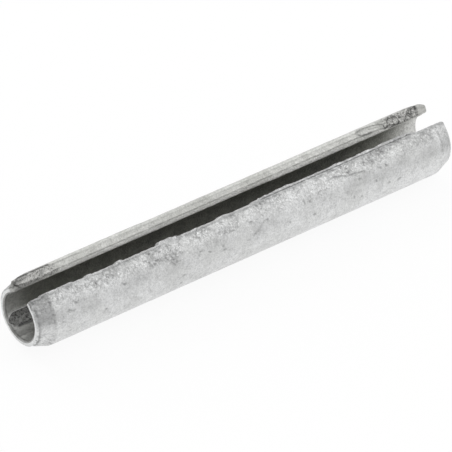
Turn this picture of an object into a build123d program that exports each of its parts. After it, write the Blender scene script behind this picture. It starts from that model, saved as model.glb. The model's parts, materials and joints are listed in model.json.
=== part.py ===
from build123d import *
import math
import os

# Slotted spring pin for an 8 mm hole, 60 mm long, rolled from one strip and hot-dip galvanised.
# It lies on its back: the axis is X, through the origin at mid-length, and the slot faces +Z.

# Rolled tube
pin_length = 60.0
body_diameter = 8.55
wall = 1.4

# Lips: the strip stops curving here and runs straight on to its slot edge
lip_start_angle = 42.3      # degrees from the middle of the slot
lip_length = 1.25           # along the strip, from the end of the curve to the edge

# Slot edge: a sheared face with a fracture bevel on its inner third and a rolled outer corner
fracture_width = 0.46
fracture_setback = 0.13
edge_roll_radius = 0.25

# End chamfers, outside only, one longer than the other
chamfer_drop = 0.74
chamfer_length_left = 2.2
chamfer_length_right = 1.8
bore_edge_break = 0.15
rim_rounding = 0.12

body_radius = body_diameter / 2
bore_radius = body_radius - wall
half_length = pin_length / 2

# Directions of the right-hand lip in the section: out through the wall, and along the strip
lip_angle = math.radians(lip_start_angle)
out_y, out_z = math.sin(lip_angle), math.cos(lip_angle)
along_y, along_z = -math.cos(lip_angle), math.sin(lip_angle)


def lip_point(radius, run):
    """Point of the right-hand lip, at a distance from the axis and a run along the strip."""
    return (radius * out_y + run * along_y, radius * out_z + run * along_z)


def mirrored(point):
    return (-point[0], point[1])


curve_end_outer = lip_point(body_radius, 0)
curve_end_inner = lip_point(bore_radius, 0)
edge_outer = lip_point(body_radius, lip_length)
edge_middle = lip_point(bore_radius + fracture_width, lip_length)
edge_inner = lip_point(bore_radius, lip_length - fracture_setback)

def edges_at(rim, radius):
    """Edges of an end face that lie on the strip's surface of this radius: the arc and both lips."""
    on_lip = rim.edges().filter_by(lambda edge: math.isclose(
        abs(edge.position_at(0.5).Y) * out_y + edge.position_at(0.5).Z * out_z, radius, rel_tol=1e-6))
    on_arc = rim.edges().filter_by(GeomType.CIRCLE).filter_by(
        lambda edge: math.isclose(edge.radius, radius, rel_tol=1e-6))
    return on_lip + on_arc


with BuildPart() as pin:
    with BuildSketch(Plane.YZ) as section:
        with BuildLine():
            ThreePointArc(curve_end_outer, (0, -body_radius), mirrored(curve_end_outer))
            Polyline(mirrored(curve_end_outer), mirrored(edge_outer), mirrored(edge_middle),
                     mirrored(edge_inner), mirrored(curve_end_inner))
            ThreePointArc(mirrored(curve_end_inner), (0, -bore_radius), curve_end_inner)
            Polyline(curve_end_inner, edge_inner, edge_middle, edge_outer, curve_end_outer)
        make_face()
    extrude(amount=half_length, both=True)

    # End chamfers: steep along the pin, shallow into the wall, around the curve and both lips
    for rim, chamfer_length in ((pin.faces().sort_by(Axis.X)[0], chamfer_length_left),
                                (pin.faces().sort_by(Axis.X)[-1], chamfer_length_right)):
        chamfer(edges_at(rim, body_radius), length=chamfer_drop, length2=chamfer_length, reference=rim)

    # Rims: bore edge broken, outer edge rounded where the chamfer ends
    for rim in (pin.faces().sort_by(Axis.X)[0], pin.faces().sort_by(Axis.X)[-1]):
        chamfer(edges_at(rim, bore_radius), length=bore_edge_break)
    for rim in (pin.faces().sort_by(Axis.X)[0], pin.faces().sort_by(Axis.X)[-1]):
        fillet(edges_at(rim, body_radius - chamfer_drop), radius=rim_rounding)

    # Outer corner of each slot edge, rolled over by the shear
    edge_corners = pin.edges().filter_by(
        lambda edge: edge.length > half_length
        and math.isclose(abs(edge.position_at(0.5).Y), edge_outer[0], rel_tol=1e-6)
        and math.isclose(edge.position_at(0.5).Z, edge_outer[1], rel_tol=1e-6))
    fillet(edge_corners, radius=edge_roll_radius)

result = pin.part
os.makedirs("parts", exist_ok=True)
export_step(result, "parts/spring_pin.step")
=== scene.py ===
"""A slotted spring pin, rolled from one strip and hot-dip galvanised: its zinc skin, light and camera.

The strip is one closed grid of points: along the strip's width, through its wall and along the pin.
Millimetres are used until the mesh is made. The pin's axis is X and its slot opens towards +Z.
The near side is the camera's (-Y), the far side lies beyond the slot (+Y). On a lip, height is the distance
from the axis through the wall, and run is how far the place lies past the end of the strip's curve.
"""
import json
import math

import bpy
import numpy as np
from mathutils import Matrix, Vector, noise


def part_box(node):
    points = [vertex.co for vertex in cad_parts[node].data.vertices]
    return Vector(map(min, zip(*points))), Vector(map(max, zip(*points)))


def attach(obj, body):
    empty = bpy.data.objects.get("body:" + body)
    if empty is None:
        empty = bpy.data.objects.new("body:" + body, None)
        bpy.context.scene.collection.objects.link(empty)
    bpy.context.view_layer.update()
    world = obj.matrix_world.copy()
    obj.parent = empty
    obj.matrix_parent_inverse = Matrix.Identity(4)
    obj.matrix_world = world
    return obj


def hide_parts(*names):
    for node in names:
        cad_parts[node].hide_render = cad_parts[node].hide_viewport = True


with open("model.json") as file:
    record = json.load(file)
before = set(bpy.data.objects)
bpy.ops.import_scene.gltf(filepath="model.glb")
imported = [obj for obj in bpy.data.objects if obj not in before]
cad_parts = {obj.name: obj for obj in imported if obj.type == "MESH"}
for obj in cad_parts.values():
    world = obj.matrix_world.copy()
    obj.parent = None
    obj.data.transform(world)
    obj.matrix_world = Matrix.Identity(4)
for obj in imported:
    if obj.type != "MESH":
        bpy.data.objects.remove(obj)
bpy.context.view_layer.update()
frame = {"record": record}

MM = 0.001
NODE = "spring_pin"

# ---------------------------------------------------------------- sizes (mm), the frame's where it has them

low_corner, high_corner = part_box(NODE)
HALF_LENGTH = (high_corner[0] - low_corner[0]) / 2 / MM
OUTER = (high_corner[1] - low_corner[1]) / 2 / MM
mounts = {mount["name"]: mount for mount in frame["record"]["mounts"]}
BORE = mounts["pin_bore"]["dims"]["r_mm"]

LIP_ANGLE = math.radians(42.3)       # from the middle of the slot to where the strip runs straight
LIP_RUN = 1.25                       # straight run of each lip
FRACTURE_WIDTH = 0.51                # inner part of the slot edge, broken rather than sheared
FRACTURE_SETBACK = 0.13
CORNER_ROLL = 0.25                   # outer corner of the slot edge
LARGEST_ROLL = 0.4                   # the roll's limit, as a share of the wall
INNER_CORNER = 0.07                  # inner corner of the slot edge
INNER_CORNER_CUT = 0.3               # how far its middle point stands in, as a share of it

CHAMFER_DROP = 0.74
CHAMFER_LEFT = 2.2
CHAMFER_RIGHT = 1.8
CHAMFER_SOFTENING = 0.18             # the zinc rounds the line where the chamfer starts
RIM_ROUNDING = 0.16
BORE_ROUNDING = 0.30
TIP_ROUNDING = 0.38                  # the slot edge's corners at both rims

# ---------------------------------------------------------------- the strip as a grid

LIP_STEPS = 10
SEEN_STEPS = 50                      # from the near lip down to the underside
FAR_STEPS = 74                       # the rest of the way round
SEEN_ARC = math.radians(95)
ROLL_STEPS = 7                       # down the slot edge: outer corner, sheared face, broken face
FACE_STEPS = 7
BEVEL_STEPS = 4
STATIONS = 368                       # along the pin
RIM_STATIONS = (0.0, 0.008, 0.03, 0.065, 0.11, 0.17, 0.25)      # in from each rim
EVEN_STATIONS_FROM = 0.37            # in from each rim
BORE_EVERY = 2                       # the bore has half as many points round it


def step(low, high, value):
    """0 below low, 1 above high, smooth between; works with high below low too."""
    share = min(1.0, max(0.0, (value - low) / (high - low)))
    return share * share * (3 - 2 * share)


def between(start, end, value, soft):
    """1 from start to end, with soft ends."""
    return step(start - soft, start + soft, value) * step(end + soft, end - soft, value)


def bell(distance, width):
    """1 at no distance, about a third at this width."""
    return math.exp(-(distance / width) ** 2)


def rounding(distance, radius):
    """How far a rounded edge stands back, at a distance from the sharp one."""
    inside = min(radius, max(0.0, radius - distance))
    return radius - math.sqrt(radius * radius - inside * inside)


def stations():
    """Places along the pin, close together at both rims."""
    rim = np.array(RIM_STATIONS)
    even = np.linspace(EVEN_STATIONS_FROM, 2 * HALF_LENGTH - EVEN_STATIONS_FROM, STATIONS - 2 * len(rim))
    return np.concatenate([rim, even, (2 * HALF_LENGTH - rim)[::-1]]) - HALF_LENGTH


def chamfer_drop(x):
    """How far the chamfers let the outer surface in, at a place along the pin."""
    drop = 0.0
    for length, from_rim in ((CHAMFER_LEFT, x + HALF_LENGTH), (CHAMFER_RIGHT, HALF_LENGTH - x)):
        into = length - from_rim
        softened = into + math.sqrt(into * into + CHAMFER_SOFTENING * CHAMFER_SOFTENING)
        drop += CHAMFER_DROP / length * 0.5 * softened
    return drop


def strip_path():
    """The strip's width: shares of the lip's run from 1 to 0, and the angles round the curve."""
    lip = np.linspace(1.0, 0.0, LIP_STEPS + 1)
    seen = np.linspace(LIP_ANGLE, LIP_ANGLE + SEEN_ARC, SEEN_STEPS + 1)[1:]
    rest = np.linspace(LIP_ANGLE + SEEN_ARC, 2 * math.pi - LIP_ANGLE, FAR_STEPS + 1)[1:-1]
    return lip, np.concatenate([seen, rest])


def lip_axes(side):
    """Out through the wall, and along the strip to its edge; side is -1 near the camera, +1 beyond it."""
    out = np.array([side * math.sin(LIP_ANGLE), math.cos(LIP_ANGLE)])
    along = np.array([-side * math.cos(LIP_ANGLE), math.sin(LIP_ANGLE)])
    return out, along


def path_points(radius, end_run):
    """One row of section points across the strip, at a radius from the bore's axis."""
    lip, curve = strip_path()
    near_out, near_along = lip_axes(-1)
    far_out, far_along = lip_axes(1)
    near = radius * near_out + np.outer(lip * end_run, near_along)
    far = radius * far_out + np.outer(lip[::-1] * end_run, far_along)
    arc = radius * np.stack([-np.sin(curve), np.cos(curve)], axis=1)
    return np.concatenate([near, arc, far])


def edge_points(outer, inner, tip):
    """Run and radius down one slot edge, from the outer surface to the bore, and where both surfaces end."""
    roll = min(CORNER_ROLL, LARGEST_ROLL * (outer - inner))
    run = LIP_RUN - tip
    turn = np.linspace(0, math.pi / 2, ROLL_STEPS + 1)[1:]
    points = [(run - roll + roll * math.sin(t), outer - roll + roll * math.cos(t)) for t in turn]
    fracture = min(inner + FRACTURE_WIDTH, outer - roll)
    points += [(run, radius) for radius in np.linspace(outer - roll, fracture, FACE_STEPS + 1)[1:]]
    drop = inner + INNER_CORNER - fracture
    for share in np.linspace(0, 1, BEVEL_STEPS + 1)[1:]:
        points.append((run - FRACTURE_SETBACK * share, fracture + drop * share))
    last = run - FRACTURE_SETBACK
    cut = INNER_CORNER * INNER_CORNER_CUT
    points.append((last - cut, inner + cut))
    return np.array(points), run - roll, last - INNER_CORNER


def section(x):
    """The four rows of points at a station: outer surface, far edge, bore surface, near edge."""
    from_rim = HALF_LENGTH - abs(x)
    outer = OUTER - chamfer_drop(x) - rounding(from_rim, RIM_ROUNDING)
    inner = BORE + rounding(from_rim, BORE_ROUNDING)
    edge, outer_run, inner_run = edge_points(outer, inner, rounding(from_rim, TIP_ROUNDING))
    far_edge, near_edge = (np.outer(edge[:, 1], out) + np.outer(edge[:, 0], along)
                           for out, along in (lip_axes(1), lip_axes(-1)))
    return path_points(outer, outer_run), far_edge, path_points(inner, inner_run)[::BORE_EVERY], near_edge


def build_grid():
    """Vertices (mm) and faces of the closed strip."""
    vertices, rings, faces = [], [], []
    for x in stations():
        rows = section(x)
        outer, far_edge, inner, near_edge = rows
        ring = np.concatenate([outer, far_edge, inner[::-1], near_edge[::-1]])
        rings.append(len(vertices) + np.arange(len(ring)))
        vertices.extend((x, y, z) for y, z in ring)
    sizes = [len(row) for row in rows]
    count = sum(sizes)
    for first, second in zip(rings, rings[1:]):
        for i in range(count):
            j = (i + 1) % count
            faces.append((first[i], first[j], second[j], second[i]))
    for ring, at_left in ((rings[0], True), (rings[-1], False)):
        faces += [face[::-1] if at_left else face for face in cap_faces(ring, vertices, sizes)]
    return np.array(vertices), faces


def cap_rows(outer, inner, near_edge, far_edge, vertices):
    """Rows of points over one rim, from its outer edge to the last before the bore; adds the new points."""
    rows = [outer]
    through = len(near_edge)
    for level in range(through):
        share = (level + 1) / (through + 1)
        row = [near_edge[level]]
        for i in range(1, len(outer) - 1):
            start = vertices[outer[i]]
            low = vertices[inner[i // BORE_EVERY]]
            high = vertices[inner[min(len(inner) - 1, -(-i // BORE_EVERY))]]
            end = [(low[n] + high[n]) / 2 for n in range(3)]
            vertices.append(tuple(start[n] + (end[n] - start[n]) * share for n in range(3)))
            row.append(len(vertices) - 1)
        row.append(far_edge[level])
        rows.append(row)
    return rows


def cap_faces(ring, vertices, sizes):
    """Faces over one rim, from its outer edge to the bore, which has half as many points."""
    across, through, bore = sizes[0], sizes[1], sizes[2]
    outer = ring[:across]
    far_edge = ring[across:across + through]
    inner = ring[across + through:across + through + bore][::-1]
    near_edge = ring[across + through + bore:][::-1]
    rows = cap_rows(outer, inner, near_edge, far_edge, vertices)
    faces = []
    for upper, lower in zip(rows, rows[1:]):
        faces += [(upper[i], upper[i + 1], lower[i + 1], lower[i]) for i in range(across - 1)]
    last = rows[-1]
    for k in range(bore - 1):
        a, b, c = last[2 * k], last[2 * k + 1], last[2 * k + 2]
        faces += [(a, b, inner[k]), (b, inner[k + 1], inner[k]), (b, c, inner[k + 1])]
    return faces


# ---------------------------------------------------------------- what the zinc left, and where

# Near slot edge: from, to, and how far the zinc stands past the cut edge
NEAR_EDGE_RUNS = (
    (-30.0, -28.5, -0.15), (-24.2, -18.1, -0.12), (-22.2, -21.5, 0.11), (-17.9, -17.2, 0.04),
    (-17.2, -12.0, -0.12), (-11.9, -10.1, 0.14), (-10.1, -9.4, 0.03), (-9.3, -3.6, -0.13),
    (-3.4, -2.4, 0.01), (-2.3, 1.4, -0.09), (1.5, 2.3, 0.05), (25.3, 30.0, -0.17),
)
# A run of zinc under the near slot edge: from, to, height, and its swellings
LEDGE = (2.5, 25.2, 0.13)
LEDGE_SWELLINGS = ((5.2, 7.6, 0.09), (13.4, 14.6, 0.09), (17.7, 19.3, 0.07), (20.4, 24.0, 0.08))

# Dross on the far slot edge: from, to, lowest and highest place through the wall, how steeply it starts and
# ends along the pin, and how far it stands out
FAR_DROSS = (
    (-29.7, -23.8, 3.05, 4.32, 1.0, 0.35, 0.03),
    (23.6, 28.55, 2.92, 4.26, 0.30, 1.0, 0.05),
)
# Where the sheared face ends and the broken one starts, along the pin and through the wall
SHEAR_LINE = ((-30.0, 3.52), (-29.4, 3.46), (-28.4, 3.34), (-27.2, 3.12), (-25.8, 3.18), (-24.4, 3.34),
              (-22.6, 3.39), (19.0, 3.39), (21.0, 3.31), (22.4, 3.27), (24.4, 3.10), (28.4, 2.98),
              (30.0, 3.1))
# Stains on the far slot edge: darkness, half width, points along the pin and through the wall
FAR_STAINS = (
    (0.75, 0.10, ((-29.50, 3.50), (-29.62, 3.62), (-29.55, 3.8), (-29.0, 4.22), (-27.6, 4.25),
                  (-24.8, 4.25))),
    (0.45, 0.06, ((-24.9, 4.25), (-24.5, 4.12), (-21.9, 4.10), (-20.3, 4.08))),
    (0.45, 0.16, ((-26.0, 3.5), (-25.8, 3.72))),
    (0.55, 0.10, ((-29.72, 3.75), (-29.45, 3.40), (-29.0, 3.08))),
    (0.70, 0.12, ((20.3, 4.10), (19.66, 4.02), (19.62, 3.93), (19.72, 3.74), (19.86, 3.58), (20.05, 3.46),
                  (20.38, 3.37), (21.0, 3.31), (21.6, 3.33))),
    (0.60, 0.08, ((20.6, 4.12), (22.0, 4.02), (22.7, 3.86), (23.3, 3.68), (24.2, 3.60))),
    (0.40, 0.06, ((21.2, 3.80), (22.2, 3.66), (23.6, 3.44), (24.4, 3.20))),
    (0.40, 0.08, ((22.6, 4.12), (23.4, 4.10), (24.0, 4.0), (24.3, 3.8))),
    (0.80, 0.12, ((28.1, 4.12), (28.5, 4.0), (28.56, 3.6), (28.45, 3.2))),
)
# Zinc run inside the bore: start, end, middle angle and half width in degrees from the slot
INNER_RUN = (-29.9, -25.0, 136.5, 17.5)

# Pits and stains on the near side: place along the pin, angle from the slot (degrees), half length along
# the pin, half width round it (mm)
MARKS = (
    (-26.9, -79, 0.16, 0.08), (-25.9, -65, 0.22, 0.14), (-25.3, -67, 0.18, 0.10), (-24.8, -57, 0.24, 0.12),
    (-25.9, -102, 0.30, 0.06), (-20.9, -90, 0.16, 0.12), (-18.2, -62, 0.20, 0.12), (-14.2, -47, 0.07, 0.22),
    (-13.6, -52, 0.13, 0.12), (-13.3, -48, 0.16, 0.07), (-13.8, -35, 0.20, 0.10), (-12.8, -35, 0.18, 0.09),
    (-11.2, -53, 0.11, 0.11), (-11.1, -57, 0.16, 0.08), (-10.8, -63, 0.13, 0.09), (-7.4, -40, 0.06, 0.25),
    (-7.3, -63, 0.24, 0.07), (-7.6, -69, 0.11, 0.13), (-6.1, -70, 0.15, 0.10), (-4.2, -70, 0.12, 0.10),
    (-4.1, -77, 0.14, 0.10), (-9.9, -91, 0.20, 0.10), (-10.1, -107, 0.15, 0.07), (-2.4, -54, 0.16, 0.10),
    (-3.5, -35, 0.18, 0.07), (-0.6, -39, 0.09, 0.09), (1.7, -34, 0.17, 0.10), (0.2, -53, 0.15, 0.09),
    (2.2, -33, 0.20, 0.12), (2.3, -60, 0.20, 0.09), (7.8, -57, 0.10, 0.24), (8.5, -60, 0.17, 0.14),
    (5.4, -80, 0.13, 0.12), (9.0, -85, 0.16, 0.13), (15.9, -60, 0.09, 0.09), (16.0, -90, 0.14, 0.12),
    (14.9, -85, 0.10, 0.24), (14.7, -43, 0.08, 0.17), (12.9, -31, 0.22, 0.07), (20.0, -56, 0.22, 0.11),
    (18.2, -74, 0.14, 0.12), (20.1, -86, 0.16, 0.11), (21.4, -89, 0.24, 0.09), (20.2, -35, 0.10, 0.10),
    (19.1, -57, 0.18, 0.06),
)
MARK_REACH = 2.2                     # how far a mark may reach, in its own half lengths and widths
MARK_DEPTH = 0.03
MARK_DARKNESS = 0.42
# Lines in the zinc on the near side: darkness, points along the pin and round it (degrees)
LINES = (
    (0.50, ((11.8, -38.0), (12.3, -39.7), (13.1, -42.0), (13.7, -43.3), (14.3, -47.0), (15.4, -48.3),
            (16.1, -49.3), (16.9, -51.0))),
    (0.32, ((-0.8, -78), (-0.3, -79), (0.2, -74), (1.1, -68), (1.5, -63), (2.0, -59))),
    (0.30, ((18.9, -50.5), (19.4, -52.0), (19.3, -56.0), (18.8, -55.5), (18.7, -52.0), (18.9, -50.5))),
)
LINE_REACH = 0.6                     # where a line's fold has ended
FOLD_HEIGHT = 0.03
# Rough heaps of zinc on the near side: place along the pin, angle, reach along and round (mm)
HEAPS = ((-13.2, -47, 1.7, 0.9), (-11.0, -58, 0.8, 1.1), (26.2, -43, 1.9, 0.8), (19.0, -38, 2.2, 0.7),
         (-3.0, -49, 1.6, 0.7), (-20.5, -42, 2.4, 0.6), (14.2, -40, 1.2, 0.6))

ROUGH_BAND = (2.9, 0.9)              # from the slot edge: where the rough zinc ends, and where it is full
SMOOTH_CONE = (28.0, 28.4)           # along the pin: where the right chamfer's smoother zinc starts
PLAIN_TONE = 0.975                   # the zinc's own tone where nothing lies on it
DROSS_FADE = 0.6                     # width of the fade across a dross outline, half of it on either side

# Noises of the skin: size of the first wave (mm), octaves, seed
NOISES = {
    "band": (3.0, 2, 21.0), "heap outline": (0.7, 2, 31.0), "swell": (1.7, 3, 0.0), "ripple": (0.55, 2, 5.0),
    "lumps": (0.8, 3, 9.0), "fine": (0.30, 2, 2.0), "edge grime": (0.7, 3, 17.0), "clouds": (3.5, 3, 12.0),
    "seam place": (0.8, 2, 51.0), "seam gaps": (1.2, 3, 52.0), "mark outline": (0.3, 3, 13.0),
    "line gaps": (0.9, 2, 41.0), "ragged edge": (0.8, 3, 7.0), "fine edge": (0.33, 2, 1.0),
    "ledge height": (1.0, 3, 4.0), "ledge crease": (0.5, 2, 6.0), "dross outline": (0.6, 2, 3.1),
    "dross relief": (0.5, 3, 6.0), "shear relief": (0.35, 3, 8.0), "shear streaks": (0.24, 2, 14.0),
    "shear mottle": (0.4, 3, 15.0), "shear line gaps": (1.2, 2, 16.0), "far stain gaps": (0.35, 2, 18.0),
    "smear": (0.8, 3, 22.0), "chamfer line": (0.5, 2, 23.0), "chamfer line gaps": (0.38, 3, 24.0),
    "rim lumps": (0.5, 2, 25.0), "rim line gaps": (0.6, 2, 26.0), "under lumps": (0.5, 3, 33.0),
    "under grime": (0.35, 3, 35.0), "bore": (0.9, 3, 28.0), "inner run": (0.45, 3, 11.0),
}
NOISE_POWER, NOISE_GAP = 0.9, 2.1    # how fast finer waves fade, and how much finer each is
# Pebbles of the skin: size (mm), seed
PEBBLES = {"skin": (0.62, 3.0), "ledge": (0.5, 8.0), "under": (0.6, 34.0)}
PEBBLE_SEAM = 0.45                   # width of the seams between them, as a share of their size


def wave(name, x, y, z):
    """A named noise at a place, between about -1 and 1."""
    size, octaves, seed = NOISES[name]
    place = Vector((x / size + seed, y / size - seed, z / size + 2 * seed))
    return noise.fractal(place, NOISE_POWER, NOISE_GAP, octaves)


def pebbles(name, x, y, z):
    """0 in the seams between named pebbles, 1 on top of them."""
    size, seed = PEBBLES[name]
    distances = noise.voronoi(Vector((x / size + seed, y / size - seed, z / size)))[0]
    return step(0.0, PEBBLE_SEAM, distances[1] - distances[0])


def on_outside(turn):
    """Length round the outside (mm) from the middle of the slot to an angle (degrees)."""
    return OUTER * math.radians(turn)


def to_line(u, v, points):
    """Distance from (u, v) to a bent line."""
    best = math.inf
    for (u0, v0), (u1, v1) in zip(points, points[1:]):
        du, dv = u1 - u0, v1 - v0
        share = min(1.0, max(0.0, ((u - u0) * du + (v - v0) * dv) / (du * du + dv * dv)))
        best = min(best, math.hypot(u - u0 - share * du, v - v0 - share * dv))
    return best


def beside(x, points, reach):
    """Whether x is within reach of the stretch of the pin that a line covers."""
    places = [point[0] for point in points]
    return min(places) - reach < x < max(places) + reach


EDGE_FACE_REACH = 0.14               # how far behind its broken face the slot edge still counts as edge
OUTER_SKIN = 0.35                    # how deep in the wall a point still counts as the outer surface
RIM_REACH = 0.35                     # this near a rim,
RIM_BORE_REACH = 0.13                # a point this near the bore belongs to it
EDGE_FACING, OUT_FACING, IN_FACING = 0.8, 0.2, -0.35     # outward parts of the normals that part the faces


class Spot:
    """One point of the bare strip, where it lies, and what the zinc does to it."""

    def __init__(self, p, normal):
        self.x, self.y, self.z = p
        self.near = self.y < 0
        self.side = -1 if self.near else 1
        radius = math.hypot(self.y, self.z)
        self.angle = math.degrees(math.atan2(self.y, self.z))
        side_y = abs(self.y)
        self.height = side_y * math.sin(LIP_ANGLE) + self.z * math.cos(LIP_ANGLE)
        self.run = self.z * math.sin(LIP_ANGLE) - side_y * math.cos(LIP_ANGLE)
        self.on_lip = self.run > 0 and self.z > 0
        self.drop = chamfer_drop(self.x)
        self.rim = HALF_LENGTH - abs(self.x)
        facing = (normal[1] * self.y + normal[2] * self.z) / radius
        past_bevel = self.run > LIP_RUN - FRACTURE_SETBACK - EDGE_FACE_REACH
        self.edge_face = self.on_lip and past_bevel and facing < EDGE_FACING
        depth_from = self.height if self.on_lip else radius
        self.outside = facing > OUT_FACING and depth_from > OUTER - self.drop - OUTER_SKIN
        inward = facing < IN_FACING or (self.rim < RIM_REACH and radius < BORE + RIM_BORE_REACH)
        self.bore = inward and not self.edge_face
        past_lip = on_outside(abs(self.angle) - math.degrees(LIP_ANGLE))
        self.to_edge = LIP_RUN - self.run if self.on_lip else LIP_RUN + past_lip
        self.around = on_outside(self.angle)
        self.lift = self.slide = self.rise = 0.0      # along the normal, past the edge, out from the axis
        self.tone = PLAIN_TONE
        self.dross = 0.0                              # 0.5 at its outline, more inside it
        self.rough = 0.35                             # how much grain and how many specks the zinc has

    def noise(self, name):
        return wave(name, self.x, self.y, self.z)

    def stain_and_shade(self, share, darkness):
        """Darken by this share of this darkness, for a stain and for painted shade alike."""
        self.tone *= 1 - darkness * share

    def brighten(self, share, brightness):
        self.tone *= 1 + brightness * share

    def cover(self, inside):
        """Dross from here on, if this place is some way (mm) inside its outline."""
        self.dross = max(self.dross, min(1.0, 0.5 + inside / DROSS_FADE))


def rough_band(s):
    """Shares of the rough zinc beside the slot and of a heap of it, at this place."""
    band = step(*ROUGH_BAND, s.to_edge) * (0.65 + 0.35 * s.noise("band"))
    heap = 0.0
    if s.near:
        for x, turn, along, round_ in HEAPS:
            far = math.hypot((s.x - x) / along, (s.around - on_outside(turn)) / round_)
            heap = max(heap, step(1.15, 0.45, far + 0.3 * s.noise("heap outline")))
    else:
        band *= step(0.1, 0.9, s.to_edge)
    band = min(1.0, max(0.0, band) + 0.8 * heap)
    return band * (1 - 0.75 * step(*SMOOTH_CONE, s.x)), heap


def lay_skin(s):
    """Relief of the outer surface, strongest beside the slot, with grime in its seams."""
    band, heap = rough_band(s)
    swell = s.noise("swell")
    s.lift += 0.012 * swell + 0.007 * s.noise("ripple")
    if band > 0.02:
        seams = 1 - pebbles("skin", s.x + 0.25 * swell, s.y, s.z)
        fine = s.noise("fine")
        relief = 0.014 * s.noise("lumps") + 0.016 * fine
        s.lift += band * relief - 0.028 * seams * (0.25 * band + 0.75 * heap)
        s.stain_and_shade(band * seams, 0.08 + 0.16 * heap)
        s.stain_and_shade(band * step(0.05, 0.5, -fine), 0.22)
    s.rough = 0.45 + 0.55 * band
    tone_skin(s)


def tone_skin(s):
    """Grime along the slot edges, clouds past the band, and painted light: zinc lighter further round towards
    the underside.
    """
    s.stain_and_shade(step(0.80, 0.20, s.to_edge + 0.40 * s.noise("edge grime")), 0.27 if s.near else 0.10)
    s.stain_and_shade(between(2.2, 3.8, s.to_edge, 0.6) * step(-0.6, 0.4, s.noise("clouds")), 0.13)
    s.brighten(between(0.6, 2.0, s.to_edge, 0.3), 0.05)
    if s.near and s.to_edge < 0.8:
        s.brighten(step(0.20, 0.06, s.to_edge), 0.22)
        seam = bell(s.to_edge - 0.36 - 0.12 * s.noise("seam place"), 0.08)
        s.stain_and_shade(seam * step(-0.2, 0.3, s.noise("seam gaps")), 0.30)
    # painted light: lighter further round towards the underside, standing in for light thrown back by the
    # white floor
    s.brighten(step(62.0, 105.0, abs(s.angle)), 0.13)


def mark_near_side(s):
    """Pits, stains, folds and cracks on the side by the camera."""
    for x, turn, along, round_ in MARKS:
        du, dv = (s.x - x) / along, (s.around - on_outside(turn)) / round_
        if abs(du) < MARK_REACH and abs(dv) < MARK_REACH:
            share = step(1.6, 0.5, math.hypot(du, dv) * (1 + 0.9 * s.noise("mark outline")))
            s.lift -= MARK_DEPTH * share
            s.stain_and_shade(share, MARK_DARKNESS)
    for darkness, line in LINES:
        if beside(s.x, line, LINE_REACH):
            gap = to_line(s.x, s.around, [(u, on_outside(v)) for u, v in line])
            if gap < LINE_REACH:
                broken = step(-0.45, 0.1, s.noise("line gaps"))
                s.lift += FOLD_HEIGHT * bell(gap - 0.12, 0.1) * broken
                s.stain_and_shade(bell(gap, 0.085) * broken, darkness)


def dress_near_lip(s):
    """The ragged near slot edge, and the run of zinc that hangs under part of it, with painted shade in the
    crease where it meets the edge.
    """
    reach = step(0.75, LIP_RUN - 0.12, s.run)
    growth = sum(height * between(start, end, s.x, 0.15) for start, end, height in NEAR_EDGE_RUNS)
    ragged = 0.05 * wave("ragged edge", s.x, 0, 0) + 0.05 * wave("fine edge", s.x, 0, 4)
    s.slide += reach * (growth + ragged)
    start, end, height = LEDGE
    here = step(start - 0.1, start + 0.12, s.x) * step(end + 0.1, end - 0.8, s.x) * reach
    if here > 0:
        height += sum(more * between(a, b, s.x, 0.35) for a, b, more in LEDGE_SWELLINGS)
        height *= 1 + 0.22 * wave("ledge height", s.x, 1, 0)
        depth = OUTER - s.height
        behind = step(0.08, 0.32, depth)
        beads = pebbles("ledge", s.x, 2.5 * depth, 0)
        s.slide += here * behind * (height + 0.07 * (beads - 0.5))
        s.rise += here * behind * (0.06 + 0.12 * (beads - 0.5))
        top = here * step(0.10, 0.15, depth)
        s.tone += (PLAIN_TONE * (0.72 + 0.36 * beads) - s.tone) * top
        # painted shade: a dark line in the crease where the ledge meets the rolled corner of the slot edge
        crease = step(0.21, 0.14, s.to_edge) * step(0.125, 0.095, depth)
        s.stain_and_shade(here * crease, 0.55 + 0.3 * wave("ledge crease", s.x, 0, 2))


def shape_far_lip(s):
    """How the far lip's form changes along the pin, and its tips, which the chamfers cut less deeply."""
    s.rise += 0.10 * step(-8.0, -14.0, s.x) * step(OUTER - 0.6, OUTER - 0.2, s.height)
    s.rise -= 0.07 * step(2.0, 8.0, s.x) * step(3.2, 3.0, s.height)
    surface = OUTER - s.drop
    upper = step(surface - 0.45, surface - 0.05, s.height) * step(0.4, 0.9, s.run)
    right_tip = (0.72 - 0.38 * step(29.0, 30.0, s.x)) * step(28.0, 29.0, s.x)
    left_tip = 0.80 * step(-27.8, -28.2, s.x) * step(-29.95, -29.6, s.x)
    s.rise += upper * s.drop * (right_tip + left_tip)
    s.rise += 0.13 * step(28.7, 29.8, s.x) * step(3.5, 3.2, s.height)


def lay_far_dross(s, height):
    """Dross on both ends of the far slot edge."""
    for start, end, lowest, highest, starts, ends, bulge in FAR_DROSS:
        if start - 0.3 < s.x < end + 0.3:
            wander = 0.18 * s.noise("dross outline")
            along = min(starts * (s.x - start), ends * (end - s.x)) + wander
            inside = min(along, 2 * (height - lowest), 2 * (highest - height))
            s.cover(inside)
            s.slide += step(-0.1, 0.2, inside) * bulge * (1 + 1.2 * s.noise("dross relief"))


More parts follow.
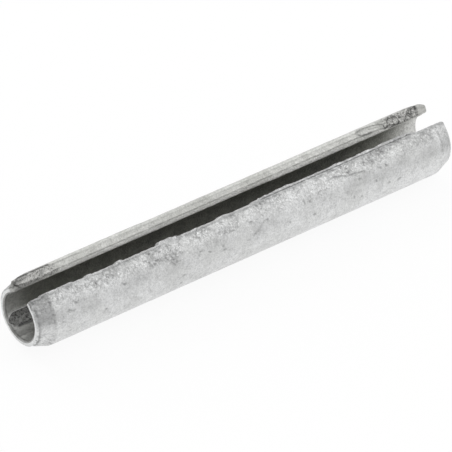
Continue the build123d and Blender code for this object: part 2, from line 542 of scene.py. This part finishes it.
def dress_far_lip(s):
    """The far slot edge: sheared and broken faces, the line between them, dross and its stains, and painted
    light and shadow on the faces.
    """
    shape_far_lip(s)
    height = s.height + s.rise
    lay_far_dross(s, height)
    s.slide += 0.004 * wave("shear relief", s.x / 5, 0, height)
    s.tone *= 0.97 + 0.04 * wave("shear streaks", s.x / 9, 1, height) + 0.07 * s.noise("shear mottle")
    # painted light: darker below the rolled top, which evens out the roll's own shading
    s.stain_and_shade(step(4.08, 3.96, height), 0.13)
    s.stain_and_shade(step(22.0, 27.0, s.x), 0.10)
    line = float(np.interp(s.x, *zip(*SHEAR_LINE)))
    below = step(line + 0.02, line - 0.07, height)
    # lighter along most of the pin; darker at the left end as painted shadow, where the broken face lies in
    # shade
    s.stain_and_shade(below, 0.48 * step(-25.5, -27.0, s.x) - 0.22)
    s.stain_and_shade(step(line - 0.27, line - 0.36, height), 0.12)
    broken = step(-0.9, 0.1, s.noise("shear line gaps"))
    s.stain_and_shade(bell(height - line, 0.055) * broken, 0.38 + 0.15 * step(-22.0, -25.0, s.x))
    s.slide += 0.012 * bell(height - line - 0.10, 0.06)
    if s.to_edge < 0.32:
        stain_far_edge(s, height)


def stain_far_edge(s, height):
    """The dark lines round and beside the dross on the far slot edge."""
    for darkness, width, points in FAR_STAINS:
        if beside(s.x, points, 0.4):
            gap = to_line(s.x, height, points)
            if gap < 2.5 * width:
                s.stain_and_shade(bell(gap, width) * (0.6 + 0.4 * step(-0.5, 0.1, s.noise("far stain gaps"))), darkness)


def dress_chamfers(s):
    """Scraped zinc on the left chamfer, grime where both start, and thick zinc under the left end."""
    left = -HALF_LENGTH + CHAMFER_LEFT
    right = HALF_LENGTH - CHAMFER_RIGHT
    upper = step(-88.0, -66.0, s.angle) * step(88.0, 66.0, s.angle)
    smear = 0.5 + 0.5 * wave("smear", s.x * 1.5, s.y / 2.5, s.z / 2.5)
    s.stain_and_shade(step(left + 0.2, left - 0.2, s.x) * (0.25 + 0.75 * upper), 0.20 + 0.12 * smear)
    s.stain_and_shade(step(right - 0.2, right + 0.2, s.x), 0.06 + 0.10 * smear * upper)
    for at, darkness in ((left - 0.08, 0.60), (right, 0.50)):
        line = bell(s.x - at - 0.08 * s.noise("chamfer line"), 0.12)
        s.stain_and_shade(line * step(-0.25, 0.30, s.noise("chamfer line gaps")) * (0.35 + 0.65 * upper), darkness)
    under = step(-27.6, -28.4, s.x) * step(85.0, 100.0, abs(s.angle))
    seams = 1 - pebbles("under", s.x, s.y, s.z)
    s.lift += under * (-0.05 + 0.03 * s.noise("under lumps") - 0.03 * seams)
    s.stain_and_shade(under * step(0.0, 0.5, s.noise("under grime")), 0.35)


def dress_rims(s):
    """A pale bead of zinc round each rim, with a dark line behind it at the left one."""
    lumps = s.noise("rim lumps") * (1.2 if s.x < 0 and s.z < -1.5 else 0.5)
    s.lift += 0.035 * bell(s.rim - 0.10, 0.10) * (1 + lumps)
    s.brighten(step(0.22, 0.08, s.rim), 0.12)
    if s.bore and s.x < 0:
        s.stain_and_shade(step(0.40, 0.22, s.rim), 0.50)
    elif s.outside and s.x < 0:
        s.stain_and_shade(bell(s.rim - 0.30, 0.10) * step(-0.6, 0.0, s.noise("rim line gaps")), 0.50)


def dress_bore(s):
    """The zinc run on the far wall inside the left end, with a painted shadow along its lower edge, and
    painted shade that darkens the floor of the bore.
    """
    start, end, middle, half = INNER_RUN
    # painted shade: the floor of the bore darker
    s.stain_and_shade(step(148.0, 156.0, s.angle), 0.28)
    if s.near or not start - 0.5 < s.x < end + 0.5:
        return
    off = abs(s.angle - middle) / half
    rounded = 0.9 * off * off
    inside = min(s.x - start - rounded, end - s.x - rounded, (1 - off) * 1.1)
    s.cover(inside)
    s.lift += step(-0.05, 0.12, inside) * (0.09 + 0.06 * s.noise("inner run"))
    # painted shadow along the run's lower outline
    s.stain_and_shade(step(144.0, 152.0, s.angle) * step(0.2, 0.0, inside) * step(-0.25, -0.1, inside), 0.75)


ENDS_REACH = 3.0                     # from each rim: the chamfers and what lies on them
LIP_DRESS_FROM = 0.4                 # along the lip's run


def skin(p, normal):
    """The zinc at one point: its shift (mm), and its tone, dross, roughness and bore shares."""
    s = Spot(p, normal)
    if s.outside:
        lay_skin(s)
        if s.near:
            mark_near_side(s)
    else:
        s.lift += 0.008 * s.noise("bore")
    if s.on_lip and not s.bore and s.run > LIP_DRESS_FROM:
        if s.near:
            dress_near_lip(s)
        elif s.edge_face or s.height > OUTER - 0.6 - s.drop:
            dress_far_lip(s)
    if s.rim < ENDS_REACH:
        if s.outside:
            dress_chamfers(s)
        dress_rims(s)
    if s.bore:
        dress_bore(s)
    out, along = ((0.0, *axis) for axis in lip_axes(s.side))
    shift = [s.lift * normal[n] + s.slide * along[n] + s.rise * out[n] for n in range(3)]
    return shift, (s.tone, s.dross, s.rough, 1.0 if s.bore else 0.0)


def make_pin():
    points, faces = build_grid()
    mesh = bpy.data.meshes.new("galvanised_pin")
    mesh.from_pydata((points * MM).tolist(), [], [[int(n) for n in face] for face in faces])
    mesh.update()
    normals = np.empty(len(mesh.vertices) * 3)
    mesh.vertices.foreach_get("normal", normals)
    normals = normals.reshape(-1, 3)
    zinc = np.empty((len(points), 4))
    for n, (p, normal) in enumerate(zip(points.tolist(), normals.tolist())):
        shift, zinc[n] = skin(p, normal)
        points[n] += shift
    mesh.vertices.foreach_set("co", (points * MM).ravel())
    layer = mesh.color_attributes.new("zinc", "FLOAT_COLOR", "POINT")
    layer.data.foreach_set("color", zinc.ravel())
    mesh.polygons.foreach_set("use_smooth", [True] * len(mesh.polygons))
    mesh.update()
    pin = bpy.data.objects.new("galvanised_pin", mesh)
    bpy.context.scene.collection.objects.link(pin)
    return pin


# ---------------------------------------------------------------- materials

# Textures: first wave (mm), detail, roughness, distortion, and the values where it starts and is full
TEXTURES = {
    "clouds": (4.2, 3.0, 0.55, 0.0, 0.38, 0.62), "grain": (0.21, 3.0, 0.6, 0.5, 0.38, 0.66),
    "blotches": (0.75, 3.0, 0.6, 0.5, 0.45, 0.62), "painted glints": (0.32, 3.0, 0.6, 0.0, 0.56, 0.70),
    "seamed": (1.3, 2.0, 0.55, 0.0, 0.42, 0.62), "cracked": (1.5, 2.0, 0.55, 0.0, 0.52, 0.60),
    "specks": (0.24, 2.0, 0.6, 0.0, 0.67, 0.74),
    "dross grain": (0.20, 3.0, 0.6, 0.4, 0.44, 0.62), "dross patches": (0.9, 3.0, 0.55, 0.0, 0.35, 0.62),
    "dross blots": (0.8, 3.0, 0.6, 0.8, 0.52, 0.62), "dross cells": (0.6, 2.0, 0.55, 0.0, 0.4, 0.6),
    "bore clouds": (1.4, 3.0, 0.55, 0.0, 0.35, 0.7), "bore grain": (0.30, 4.0, 0.65, 0.0, 0.40, 0.66),
    "inner run": (0.30, 4.0, 0.65, 0.9, 0.40, 0.66), "ragged outline": (0.55, 4.0, 0.55, 0.0, 0.3, 0.7),
    "dullness": (1.1, 3.0, 0.55, 0.0, 0.3, 0.7),
}


class Nodes:
    """A short way to write a node tree."""

    def __init__(self, tree):
        self.tree = tree
        tree.nodes.clear()

    def add(self, kind, values=None, **settings):
        node = self.tree.nodes.new(kind)
        for name, value in settings.items():
            setattr(node, name, value)
        for name, value in (values or {}).items():
            self.set(node.inputs[name], value)
        return node

    def set(self, socket, value):
        """Link an output to a socket, or give the socket a plain value."""
        if hasattr(value, "is_output"):
            self.tree.links.new(value, socket)
        else:
            socket.default_value = value

    def noise(self, where, size, detail=3.0, roughness=0.55, distortion=0.0):
        """Noise with a first wave of this size in mm."""
        node = self.add("ShaderNodeTexNoise", {"Vector": where, "Scale": 1 / (size * MM), "Detail": detail,
                                               "Roughness": roughness, "Distortion": distortion})
        return node.outputs[0]

    def texture(self, where, name, bottom=0.0, top=1.0):
        """A named texture, from bottom where it isn't to top where it is full."""
        *noise_values, low, high = TEXTURES[name]
        return self.ramp(self.noise(where, *noise_values), low, high, bottom, top)

    def seams(self, where, size, width):
        """1 on the seams between cells of this size in mm, 0 inside the cells."""
        node = self.add("ShaderNodeTexVoronoi", {"Vector": where, "Scale": 1 / (size * MM)},
                        feature="DISTANCE_TO_EDGE")
        return self.ramp(node.outputs[0], 0.0, width / size, 1.0, 0.0)

    def warp(self, where, size, reach):
        """The same place moved about by up to this reach in mm, in waves of this size in mm."""
        node = self.add("ShaderNodeTexNoise", {"Vector": where, "Scale": 1 / (size * MM), "Detail": 2.0})
        push = self.add("ShaderNodeVectorMath", {0: node.outputs[1], 1: (0.5, 0.5, 0.5)},
                        operation="SUBTRACT")
        push = self.add("ShaderNodeVectorMath", {0: push.outputs[0], "Scale": 2 * reach * MM},
                        operation="SCALE")
        return self.add("ShaderNodeVectorMath", {0: where, 1: push.outputs[0]}).outputs[0]

    def ramp(self, value, low, high, bottom=0.0, top=1.0):
        node = self.add("ShaderNodeMapRange", {"Value": value, "From Min": low, "From Max": high,
                                               "To Min": bottom, "To Max": top},
                        interpolation_type="SMOOTHSTEP")
        return node.outputs[0]

    def veins(self, where, size, width, detail=2.0):
        """1 along winding lines of this width in mm, about this size in mm apart."""
        off = self.maths("ABSOLUTE", self.maths("SUBTRACT", self.noise(where, size, detail), 0.5), 0.0)
        return self.ramp(off, 0.0, 0.22 * width / size, 1.0, 0.0)

    def maths(self, operation, a, b):
        return self.add("ShaderNodeMath", {0: a, 1: b}, operation=operation).outputs[0]

    def times(self, a, b):
        return self.maths("MULTIPLY", a, b)

    def most(self, a, b):
        return self.maths("MAXIMUM", a, b)

    def mix(self, share, a, b, blend="MIX"):
        node = self.add("ShaderNodeMix", data_type="RGBA", blend_type=blend)
        for socket, value in ((0, share), (6, a), (7, b)):
            self.set(node.inputs[socket], value)
        return node.outputs[2]


def grey(level, tint=(1.0, 1.0, 1.0)):
    return (level * tint[0], level * tint[1], level * tint[2], 1.0)


COOL = (0.993, 1.0, 1.0)
GREENISH = (0.993, 1.0, 0.992)
WARM = (0.998, 1.0, 0.972)
DEEP_WARM = (0.995, 1.0, 0.93)
FAR_LIP_TINT = (1.005, 1.0, 0.965)


def zinc_tone(n, where, rough):
    """Pale mottled zinc with fine dark specks, seams and cracks, and painted glints, more of them where it is
    rough.
    """
    def strength(smooth, full, start=0.3):
        """From one strength where the zinc is smooth to another where it is fully rough."""
        return n.ramp(rough, start, 1.0, smooth, full)

    tone = n.mix(n.texture(where, "clouds"), grey(0.71, GREENISH), grey(0.79, COOL))
    seams = n.times(n.seams(n.warp(where, 0.5, 0.25), 0.52, 0.11), n.texture(where, "seamed"))
    cracks = n.times(n.veins(n.warp(where, 0.8, 0.3), 0.9, 0.16), n.texture(where, "cracked"))
    for mask, amount, colour in (
            (n.texture(where, "grain"), strength(0.24, 0.70, 0.0), grey(0.42, GREENISH)),
            (n.texture(where, "blotches"), strength(0.16, 0.34), grey(0.46, COOL)),
            # painted highlights: small bright glints mixed into the colour
            (n.texture(where, "painted glints"), strength(0.3, 1.0), grey(0.86, COOL)),
            (seams, strength(0.10, 0.50), grey(0.28)),
            (cracks, strength(0.14, 0.75), grey(0.22)),
            (n.texture(where, "specks"), strength(0.3, 0.65, 0.0), grey(0.24))):
        tone = n.mix(n.times(mask, amount), tone, colour)
    return tone


def dross_tone(n, where, along):
    """Dross: finely speckled at the left end of the pin, and black-seamed pale cells at the right end."""
    grain = n.texture(where, "dross grain")
    patches = n.times(n.texture(where, "dross patches", 0.55, 1.0), 0.85)
    speckled = n.mix(n.times(grain, patches), grey(0.62), grey(0.15))
    lines = n.most(n.veins(where, 0.9, 0.28), n.times(n.veins(where, 0.5, 0.16), 0.75))
    dark = n.most(n.times(lines, 0.92), n.times(n.texture(where, "dross blots"), 0.8))
    dark = n.most(dark, n.times(grain, 0.45))
    cells = n.mix(dark, n.mix(n.texture(where, "dross cells"), grey(0.56), grey(0.88)), grey(0.07))
    return n.mix(n.ramp(along, 10 * MM, 20 * MM), speckled, cells)


def bore_tone_and_shade(n, where, along):
    """The bore: darker than the outside, partly duller zinc and partly painted shade of its depth; less dark
    near its left end, and as pale as the outside at the right end, where light reaches in.
    """
    # painted shade: these greys lie far below the outside's, for the shade of the bore's depth
    tone = n.mix(n.texture(where, "bore clouds"), grey(0.37, DEEP_WARM), grey(0.45, DEEP_WARM))
    tone = n.mix(n.ramp(along, -26 * MM, -29.5 * MM), tone, grey(0.68, WARM))
    tone = n.mix(n.ramp(along, 24 * MM, 29 * MM), tone, grey(0.74, WARM))
    return n.mix(n.times(n.texture(where, "bore grain"), 0.35), tone, grey(0.16))


def zinc_colour(n, where, place, zinc):
    """Colour of the whole skin, from the mesh's tone, dross, roughness and bore shares."""
    shares = n.add("ShaderNodeSeparateColor", {"Color": zinc.outputs["Color"]}).outputs
    level, dross, rough, bore = shares[0], shares[1], shares[2], zinc.outputs["Alpha"]
    along = place[0]
    tone = n.mix(bore, zinc_tone(n, where, rough), bore_tone_and_shade(n, where, along))

    ragged = n.times(n.texture(where, "ragged outline", -0.22, 0.22), n.ramp(bore, 0.0, 1.0, 1.0, 0.15))
    depth = n.maths("ADD", dross, ragged)
    run_inside = n.mix(n.texture(where, "inner run"), grey(0.34, WARM), grey(0.06))
    # painted highlight: a bright line round the raised edge of the zinc run inside the bore
    highlit_outline = n.mix(n.times(bore, n.ramp(depth, 0.38, 0.48)), tone, grey(0.85))
    filling = n.mix(bore, dross_tone(n, where, along), run_inside)
    tone = n.mix(n.ramp(depth, 0.50, 0.60), highlit_outline, filling)

    level = n.add("ShaderNodeCombineColor", {0: level, 1: level, 2: level}).outputs[0]
    tone = n.mix(1.0, tone, level, "MULTIPLY")
    far_lip = n.times(n.ramp(place[1], 0.8 * MM, 1.0 * MM), n.ramp(place[2], 2.65 * MM, 2.85 * MM))
    return n.mix(far_lip, tone, grey(1.0, FAR_LIP_TINT), "MULTIPLY"), rough


def zinc_material():
    """Dull hot-dip zinc."""
    material = bpy.data.materials.new("galvanised_zinc")
    material.use_nodes = True
    n = Nodes(material.node_tree)
    where = n.add("ShaderNodeTexCoord").outputs["Object"]
    place = n.add("ShaderNodeSeparateXYZ", {"Vector": where}).outputs
    zinc = n.add("ShaderNodeAttribute", attribute_name="zinc")
    colour, rough = zinc_colour(n, where, place, zinc)

    grit = n.times(n.noise(where, 0.20, 3.0, 0.6), n.ramp(rough, 0.0, 1.0, 0.8, 1.6))
    height = n.maths("ADD", grit, n.noise(where, 0.5, 3.0, 0.55, 0.5))
    bump = n.add("ShaderNodeBump", {"Height": height, "Strength": 0.75, "Distance": 0.08 * MM})
    shader = n.add("ShaderNodeBsdfPrincipled", {
        "Base Color": colour, "Roughness": n.texture(where, "dullness", 0.44, 0.58),
        "Normal": bump.outputs[0], "Metallic": 0.9})
    n.add("ShaderNodeOutputMaterial", {"Surface": shader.outputs[0]})
    return material


FLOOR_WHITENESS = 0.90               # share of plain white; the rest keeps the shadow


def floor_material():
    """White to the camera, metal and glass, with a faint shadow; plain diffuse white to the light."""
    material = bpy.data.materials.new("white_floor")
    material.use_nodes = True
    n = Nodes(material.node_tree)
    path = n.add("ShaderNodeLightPath").outputs
    mirrored = n.most(path["Is Glossy Ray"], path["Is Transmission Ray"])
    share = n.times(n.most(path["Is Camera Ray"], mirrored), FLOOR_WHITENESS)
    diffuse = n.add("ShaderNodeBsdfDiffuse", {"Color": grey(0.9)})
    white = n.add("ShaderNodeEmission", {"Color": grey(1.0), "Strength": 1.0})
    mixed = n.add("ShaderNodeMixShader", {0: share, 1: diffuse.outputs[0], 2: white.outputs[0]})
    n.add("ShaderNodeOutputMaterial", {"Surface": mixed.outputs[0]})
    return material


# ---------------------------------------------------------------- floor, light, camera (metres)

FLOOR_HALF = 0.6
FLOOR_GAP = 0.0001                   # under the lowest point of the pin


def make_floor():
    half, level = FLOOR_HALF, low_corner[2] - FLOOR_GAP
    corners = [(-half, -half, level), (half, -half, level), (half, half, level), (-half, half, level)]
    mesh = bpy.data.meshes.new("floor")
    mesh.from_pydata(corners, [], [(0, 1, 2, 3)])
    floor = bpy.data.objects.new("floor", mesh)
    bpy.context.scene.collection.objects.link(floor)
    mesh.materials.append(floor_material())


def aim(place, roll=0.0):
    """Rotation that looks from a place to the origin."""
    back = Vector(place).normalized()
    right = Vector((0, 0, 1)).cross(back).normalized()
    up = back.cross(right)
    turned_right = math.cos(roll) * right + math.sin(roll) * up
    turned_up = math.cos(roll) * up - math.sin(roll) * right
    return Matrix((turned_right, turned_up, back)).transposed().to_4x4()


# Soft boxes: name, place, side, power (W)
SOFT_BOXES = (("right_box", (0.35, -0.15, 0.40), 0.35, 0.45), ("back_box", (-0.05, 0.45, 0.35), 0.35, 0.55))
CARD = (-0.45, -0.60, 0.66)          # towards a greyer part of the white tent, front left and high
CARD_FADE = (0.60, 0.97)             # cosines of the angle from it: where the tent is white, and greyest
CARD_LEVEL = 0.68


def area_light(name, place, size, power):
    light = bpy.data.lights.new(name, "AREA")
    light.size = size
    light.energy = power
    lamp = bpy.data.objects.new(name, light)
    lamp.matrix_world = Matrix.Translation(place) @ aim(place)
    bpy.context.scene.collection.objects.link(lamp)


def make_light():
    """A white tent, the same for the eye, the metal and the light, and soft boxes at the right and behind."""
    world = bpy.data.worlds.new("tent")
    bpy.context.scene.world = world
    world.use_nodes = True
    n = Nodes(world.node_tree)
    towards = n.add("ShaderNodeTexCoord").outputs["Generated"]
    nearness = n.add("ShaderNodeVectorMath", {0: towards, 1: Vector(CARD).normalized()},
                     operation="DOT_PRODUCT")
    level = n.ramp(nearness.outputs["Value"], *CARD_FADE, 1.0, CARD_LEVEL)
    tent = n.add("ShaderNodeBackground", {"Color": grey(1.0), "Strength": level})
    n.add("ShaderNodeOutputWorld", {"Surface": tent.outputs[0]})
    for name, place, size, power in SOFT_BOXES:
        area_light(name, place, size, power)


CAMERA_AZIMUTH = math.radians(-40.41)
CAMERA_ELEVATION = math.radians(38.90)
CAMERA_ROLL = math.radians(4.38)
CAMERA_DISTANCE = 0.6067
IMAGE_SIDE = 452
FOCAL_PIXELS = 5281.5
ORIGIN_PIXEL = (230.4, 224.5)        # where the pin's middle lies in the photo
SENSOR_WIDTH = 36.0
CLIP_START = 0.01


def make_camera():
    camera = bpy.data.cameras.new("camera")
    camera.sensor_width = SENSOR_WIDTH
    camera.lens = FOCAL_PIXELS / IMAGE_SIDE * camera.sensor_width
    camera.shift_x = (IMAGE_SIDE / 2 - ORIGIN_PIXEL[0]) / IMAGE_SIDE
    camera.shift_y = (ORIGIN_PIXEL[1] - IMAGE_SIDE / 2) / IMAGE_SIDE
    camera.clip_start = CLIP_START
    back = Vector((math.sin(CAMERA_AZIMUTH) * math.cos(CAMERA_ELEVATION),
                   -math.cos(CAMERA_AZIMUTH) * math.cos(CAMERA_ELEVATION),
                   math.sin(CAMERA_ELEVATION)))
    seat = bpy.data.objects.new("camera", camera)
    seat.matrix_world = Matrix.Translation(back * CAMERA_DISTANCE) @ aim(back, CAMERA_ROLL)
    bpy.context.scene.collection.objects.link(seat)
    bpy.context.scene.camera = seat


pin = make_pin()
pin.data.materials.append(zinc_material())
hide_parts(NODE)
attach(pin, "root")

make_floor()
make_light()
make_camera()
bpy.context.scene.view_settings.view_transform = "Standard"
